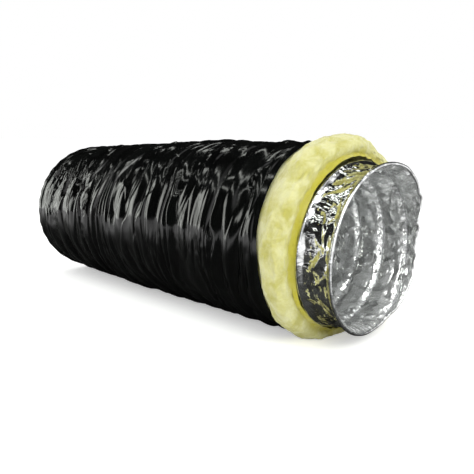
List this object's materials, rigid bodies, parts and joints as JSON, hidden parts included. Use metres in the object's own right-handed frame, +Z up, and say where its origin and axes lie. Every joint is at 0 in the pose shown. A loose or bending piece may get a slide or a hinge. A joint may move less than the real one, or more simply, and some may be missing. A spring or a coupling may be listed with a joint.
{
  "type": "insulated flexible air duct",
  "caption": "Insulated flexible air duct: foil core on a steel wire helix, yellow glass wool blanket and black film jacket. Stretches and bends.",
  "frame": {"origin": "on the floor, under the middle of the duct", "axes": "+X along the duct towards its bare near end, +Z up"},
  "size_m": [0.628, 0.261, 0.2465],
  "materials": {
    "liner_foil": "crumpled metallised film, inner ply",
    "spring_steel": "drawn spring steel wire",
    "outer_foil": "crumpled bright aluminium foil, outer ply",
    "glass_wool": "matt fibrous yellow wool",
    "black_film": "glossy pleated polyethylene film"
  },
  "bodies": {
    "far_section": {"liner_01": "liner_foil", "wire_01": "spring_steel", "foil_01": "outer_foil", "blanket_01": "glass_wool", "jacket_01": "black_film"},
    "section_02": {"liner_02": "liner_foil", "wire_02": "spring_steel", "foil_02": "outer_foil", "blanket_02": "glass_wool", "jacket_02": "black_film"},
    "section_03": {"liner_03": "liner_foil", "wire_03": "spring_steel", "foil_03": "outer_foil", "blanket_03": "glass_wool", "jacket_03": "black_film"},
    "section_04": {"liner_04": "liner_foil", "wire_04": "spring_steel", "foil_04": "outer_foil", "blanket_04": "glass_wool", "jacket_04": "black_film"},
    "section_05": {"liner_05": "liner_foil", "wire_05": "spring_steel", "foil_05": "outer_foil", "blanket_05": "glass_wool", "jacket_05": "black_film"},
    "section_06": {"liner_06": "liner_foil", "wire_06": "spring_steel", "foil_06": "outer_foil", "blanket_06": "glass_wool", "jacket_06": "black_film"},
    "section_07": {"liner_07": "liner_foil", "wire_07": "spring_steel", "foil_07": "outer_foil", "blanket_07": "glass_wool", "jacket_07": "black_film"},
    "section_08": {"liner_08": "liner_foil", "wire_08": "spring_steel", "foil_08": "outer_foil", "blanket_08": "glass_wool", "jacket_08": "black_film"},
    "section_09": {"liner_09": "liner_foil", "wire_09": "spring_steel", "foil_09": "outer_foil", "blanket_09": "glass_wool", "jacket_09": "black_film"},
    "section_10": {"liner_10": "liner_foil", "wire_10": "spring_steel", "foil_10": "outer_foil", "blanket_10": "glass_wool", "jacket_10": "black_film"},
    "section_11": {"liner_11": "liner_foil", "wire_11": "spring_steel", "foil_11": "outer_foil", "blanket_11": "glass_wool", "jacket_11": "black_film"},
    "near_section": {"liner_near": "liner_foil", "wire_near": "spring_steel", "foil_near": "outer_foil", "blanket_near": "glass_wool"}
  },
  "joints": [
    {"name": "bend_sideways_1", "type": "hinge", "parent": "far_section", "child": "section_02", "pos_m": [-0.26445, 0, 0.116], "axis": [0, 0, 1], "range_deg": [-12, 12], "deforming": ["liner_01", "foil_01", "blanket_01", "jacket_01", "liner_02", "foil_02", "blanket_02", "jacket_02"]},
    {"name": "bend_up_1", "type": "hinge", "parent": "section_02", "child": "section_03", "pos_m": [-0.21525, 0, 0.116], "axis": [0, -1, 0], "range_deg": [0, 12], "deforming": ["liner_02", "foil_02", "blanket_02", "jacket_02", "liner_03", "foil_03", "blanket_03", "jacket_03"]},
    {"name": "stretch_1", "type": "slide", "parent": "section_03", "child": "section_04", "axis": [1, 0, 0], "range_m": [-0.026, 0.01], "deforming": ["liner_03", "foil_03", "blanket_03", "jacket_03", "liner_04", "foil_04", "blanket_04", "jacket_04"]},
    {"name": "bend_sideways_2", "type": "hinge", "parent": "section_04", "child": "section_05", "pos_m": [-0.11685, 0, 0.116], "axis": [0, 0, 1], "range_deg": [-12, 12], "deforming": ["liner_04", "foil_04", "blanket_04", "jacket_04", "liner_05", "foil_05", "blanket_05", "jacket_05"]},
    {"name": "bend_up_2", "type": "hinge", "parent": "section_05", "child": "section_06", "pos_m": [-0.06765, 0, 0.116], "axis": [0, -1, 0], "range_deg": [0, 12], "deforming": ["liner_05", "foil_05", "blanket_05", "jacket_05", "liner_06", "foil_06", "blanket_06", "jacket_06"]},
    {"name": "stretch_2", "type": "slide", "parent": "section_06", "child": "section_07", "axis": [1, 0, 0], "range_m": [-0.026, 0.01], "deforming": ["liner_06", "foil_06", "blanket_06", "jacket_06", "liner_07", "foil_07", "blanket_07", "jacket_07"]},
    {"name": "bend_sideways_3", "type": "hinge", "parent": "section_07", "child": "section_08", "pos_m": [0.03075, 0, 0.116], "axis": [0, 0, 1], "range_deg": [-12, 12], "deforming": ["liner_07", "foil_07", "blanket_07", "jacket_07", "liner_08", "foil_08", "blanket_08", "jacket_08"]},
    {"name": "bend_up_3", "type": "hinge", "parent": "section_08", "child": "section_09", "pos_m": [0.07995, 0, 0.116], "axis": [0, -1, 0], "range_deg": [0, 12], "deforming": ["liner_08", "foil_08", "blanket_08", "jacket_08", "liner_09", "foil_09", "blanket_09", "jacket_09"]},
    {"name": "stretch_3", "type": "slide", "parent": "section_09", "child": "section_10", "axis": [1, 0, 0], "range_m": [-0.026, 0.01], "deforming": ["liner_09", "foil_09", "blanket_09", "jacket_09", "liner_10", "foil_10", "blanket_10", "jacket_10"]},
    {"name": "bend_sideways_4", "type": "hinge", "parent": "section_10", "child": "section_11", "pos_m": [0.17835, 0, 0.116], "axis": [0, 0, 1], "range_deg": [-12, 12], "deforming": ["liner_10", "foil_10", "blanket_10", "jacket_10", "liner_11", "foil_11", "blanket_11", "jacket_11"]},
    {"name": "bend_up_4", "type": "hinge", "parent": "section_11", "child": "near_section", "pos_m": [0.22755, 0, 0.116], "axis": [0, -1, 0], "range_deg": [0, 12], "deforming": ["liner_11", "foil_11", "blanket_11", "jacket_11", "liner_near", "foil_near", "blanket_near"]}
  ],
  "couplings": [
    {"joint": "bend_sideways_2", "follows": "bend_sideways_1", "ratio": 1},
    {"joint": "bend_up_2", "follows": "bend_up_1", "ratio": 1},
    {"joint": "stretch_2", "follows": "stretch_1", "ratio": 1},
    {"joint": "bend_sideways_3", "follows": "bend_sideways_1", "ratio": 1},
    {"joint": "bend_up_3", "follows": "bend_up_1", "ratio": 1},
    {"joint": "stretch_3", "follows": "stretch_1", "ratio": 1},
    {"joint": "bend_sideways_4", "follows": "bend_sideways_1", "ratio": 1},
    {"joint": "bend_up_4", "follows": "bend_up_1", "ratio": 1}
  ]
}
